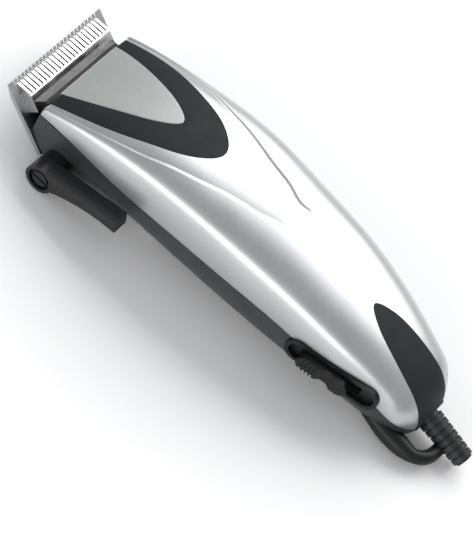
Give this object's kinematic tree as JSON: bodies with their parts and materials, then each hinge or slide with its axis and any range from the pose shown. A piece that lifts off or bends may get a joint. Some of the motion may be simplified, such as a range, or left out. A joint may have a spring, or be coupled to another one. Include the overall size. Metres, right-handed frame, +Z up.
{
  "type": "hair clipper",
  "caption": "Corded hair clipper with a toothed blade set, taper lever, slide switch and an electromagnet motor that swings an arm inside a two-part case.",
  "frame": {"origin": "on the mid-plane, in the flat underside that it rests on, between the blade and the cord", "axes": "+X from the blade towards the cord, +Z up through the silver shell, taper lever and switch on the -Y side"},
  "size_m": [0.1974, 0.0624, 0.0413],
  "materials": {
    "silver_shell": "metallic silver finish, satin",
    "charcoal_inlay": "fine matte texture",
    "satin_plate": "satin grey",
    "dark_housing": "matte moulded",
    "black_plastic": "semi-matte moulded",
    "lever_plastic": "semi-matte moulded",
    "natural_plastic": "plain moulded",
    "sleeve_rubber": "soft ribbed",
    "ground_blade": "ground",
    "polished_blade": "polished",
    "plated_screw": "plated",
    "spring_steel": "plain",
    "core_steel": "laminated",
    "copper_wire": "enamelled copper",
    "brass_tab": "plain"
  },
  "bodies": {
    "housing": {"upper_shell": "silver_shell", "head_insert": "charcoal_inlay", "head_plate": "satin_plate", "rear_insert": "charcoal_inlay", "lower_housing": "dark_housing", "case_screws": "plated_screw", "stator_core": "core_steel", "coil_bobbin": "natural_plastic", "coil_winding": "copper_wire", "motor_screws": "plated_screw", "spring_anchor": "core_steel", "leaf_spring": "spring_steel", "switch_bezel": "black_plastic", "switch_body": "black_plastic", "switch_terminals": "brass_tab", "cord_sleeve": "sleeve_rubber", "cord_clamp": "natural_plastic", "clamp_screws": "plated_screw", "hanging_loop": "black_plastic"},
    "armature": {"drive_arm": "spring_steel", "armature_core": "core_steel"},
    "cutter": {"moving_blade": "polished_blade", "drive_foot": "black_plastic"},
    "blade_set": {"fixed_blade": "ground_blade", "blade_carrier": "black_plastic", "blade_screws": "plated_screw"},
    "lever": {"taper_lever": "lever_plastic", "lever_shaft": "spring_steel", "lever_screw": "plated_screw"},
    "switch_slider": {"switch_knob": "black_plastic"},
    "power_adjuster": {"power_screw": "plated_screw"}
  },
  "joints": [
    {"name": "arm_swing", "type": "hinge", "parent": "housing", "child": "armature", "pos_m": [0.042, 0, 0.02055], "axis": [0, 0, 1], "range_deg": [-0.6, 0.6], "stiffness_Nm_per_rad": 4},
    {"name": "blade_stroke", "type": "slide", "parent": "housing", "child": "cutter", "axis": [0, 1, 0], "range_m": [-0.0014, 0.0014]},
    {"name": "taper_slide", "type": "slide", "parent": "housing", "child": "blade_set", "axis": [0.788, 0, -0.6157], "range_m": [0, 0.00175]},
    {"name": "taper_turn", "type": "hinge", "parent": "housing", "child": "lever", "pos_m": [-0.065, -0.03, 0.0064], "axis": [0, -1, 0], "range_deg": [0, 45]},
    {"name": "switch_slide", "type": "slide", "parent": "housing", "child": "switch_slider", "axis": [0.9871, 0.1599, 0], "range_m": [0, 0.005]},
    {"name": "power_turn", "type": "hinge", "parent": "housing", "child": "power_adjuster", "pos_m": [-0.024, 0.02, 0.012], "axis": [0, 1, 0], "range_deg": [-180, 180]}
  ],
  "couplings": [
    {"joint": "blade_stroke", "follows": "arm_swing", "m_per_rad": -0.121},
    {"joint": "taper_turn", "follows": "taper_slide", "rad_per_m": 446.43}
  ]
}
